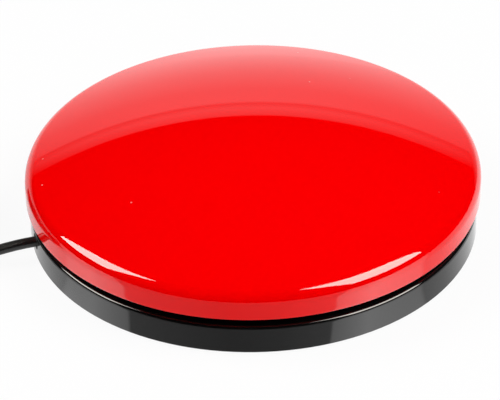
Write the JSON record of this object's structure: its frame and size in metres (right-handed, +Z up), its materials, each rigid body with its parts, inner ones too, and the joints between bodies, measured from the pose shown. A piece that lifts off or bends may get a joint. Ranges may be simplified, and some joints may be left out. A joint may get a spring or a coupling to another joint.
{
  "type": "adaptive switch button",
  "caption": "Large round press switch: a glossy domed cap, sprung on guide posts over a low round base, closes a snap-action switch and so a thin lead that ends in a mono plug.",
  "frame": {"origin": "on the surface it stands on, under the middle of the base", "axes": "+Z up through the cap, -Y towards whoever took the picture, so that the cord leaves towards -X"},
  "size_m": [0.2089, 0.1323, 0.0307],
  "materials": {
    "cap_red": "gloss",
    "base_black": "gloss",
    "carrier_grey": "matte",
    "screw_steel": "satin",
    "bush_acetal": "matte",
    "damper_rubber": "matte",
    "foot_rubber": "matte",
    "spring_steel": "satin",
    "insert_brass": "satin",
    "switch_plastic": "matte",
    "plunger_plastic": "matte",
    "strip_steel": "satin",
    "contact_brass": "satin",
    "cord_black": "satin",
    "grommet_rubber": "matte",
    "clamp_plastic": "matte",
    "wire_red": "satin",
    "wire_white": "satin",
    "tie_black": "matte",
    "plug_black": "satin",
    "plug_metal": "polished",
    "plug_insulator": "matte"
  },
  "bodies": {
    "base": {"base_shell": "base_black", "bottom_plate": "base_black", "base_screws": "screw_steel", "switch_screw_a": "screw_steel", "switch_screw_b": "screw_steel", "clamp_screw_a": "screw_steel", "clamp_screw_b": "screw_steel", "guide_bush_a": "bush_acetal", "guide_bush_b": "bush_acetal", "guide_bush_c": "bush_acetal", "stop_bumper_a": "damper_rubber", "stop_bumper_b": "damper_rubber", "stop_bumper_c": "damper_rubber", "rubber_foot_a": "foot_rubber", "rubber_foot_b": "foot_rubber", "rubber_foot_c": "foot_rubber", "rubber_foot_d": "foot_rubber", "return_spring_a": "spring_steel", "return_spring_b": "spring_steel", "return_spring_c": "spring_steel", "mount_insert_a": "insert_brass", "mount_insert_b": "insert_brass", "mount_insert_c": "insert_brass", "switch_case": "switch_plastic", "switch_cover": "switch_plastic", "common_terminal": "contact_brass", "make_terminal": "contact_brass", "inner_cable": "cord_black", "cable_lead": "cord_black", "cable_coil": "cord_black", "cable_tail": "cord_black", "cable_grommet": "grommet_rubber", "cable_clamp": "clamp_plastic", "signal_wire": "wire_red", "return_wire": "wire_white", "coil_tie": "tie_black", "plug_grip": "plug_black", "plug_sleeve": "plug_metal", "plug_tip": "plug_metal", "plug_insulator": "plug_insulator"},
    "button": {"button_cap": "cap_red", "carrier_plate": "carrier_grey", "cap_screw_a": "screw_steel", "cap_screw_b": "screw_steel", "cap_screw_c": "screw_steel", "guide_screw_a": "screw_steel", "guide_screw_b": "screw_steel", "guide_screw_c": "screw_steel", "guide_washer_a": "screw_steel", "guide_washer_b": "screw_steel", "guide_washer_c": "screw_steel", "damper_ring_a": "damper_rubber", "damper_ring_b": "damper_rubber", "damper_ring_c": "damper_rubber"},
    "plunger": {"switch_plunger": "plunger_plastic"},
    "lever": {"switch_lever": "strip_steel"},
    "blade": {"snap_blade": "contact_brass"}
  },
  "joints": [
    {"name": "button_press", "type": "slide", "parent": "base", "child": "button", "axis": [0, 0, -1], "range_m": [0, 0.0015], "stiffness_N_per_m": 400, "springref_m": -0.003, "deforming": ["return_spring_a", "return_spring_b", "return_spring_c"]},
    {"name": "plunger_press", "type": "slide", "parent": "base", "child": "plunger", "axis": [0, 0, -1], "range_m": [0, 0.00092]},
    {"name": "lever_tilt", "type": "hinge", "parent": "base", "child": "lever", "pos_m": [-0.011, 0, 0.01609], "axis": [0, 1, 0], "range_deg": [0, 8]},
    {"name": "blade_snap", "type": "hinge", "parent": "base", "child": "blade", "pos_m": [-0.0105, 0, 0.01304], "axis": [0, 1, 0], "range_deg": [0, 3.9]}
  ],
  "couplings": [
    {"joint": "plunger_press", "follows": "button_press", "ratio": 0.6},
    {"joint": "lever_tilt", "follows": "button_press", "rad_per_m": 90.909},
    {"joint": "blade_snap", "follows": "button_press", "rad_per_m": 44.33}
  ]
}
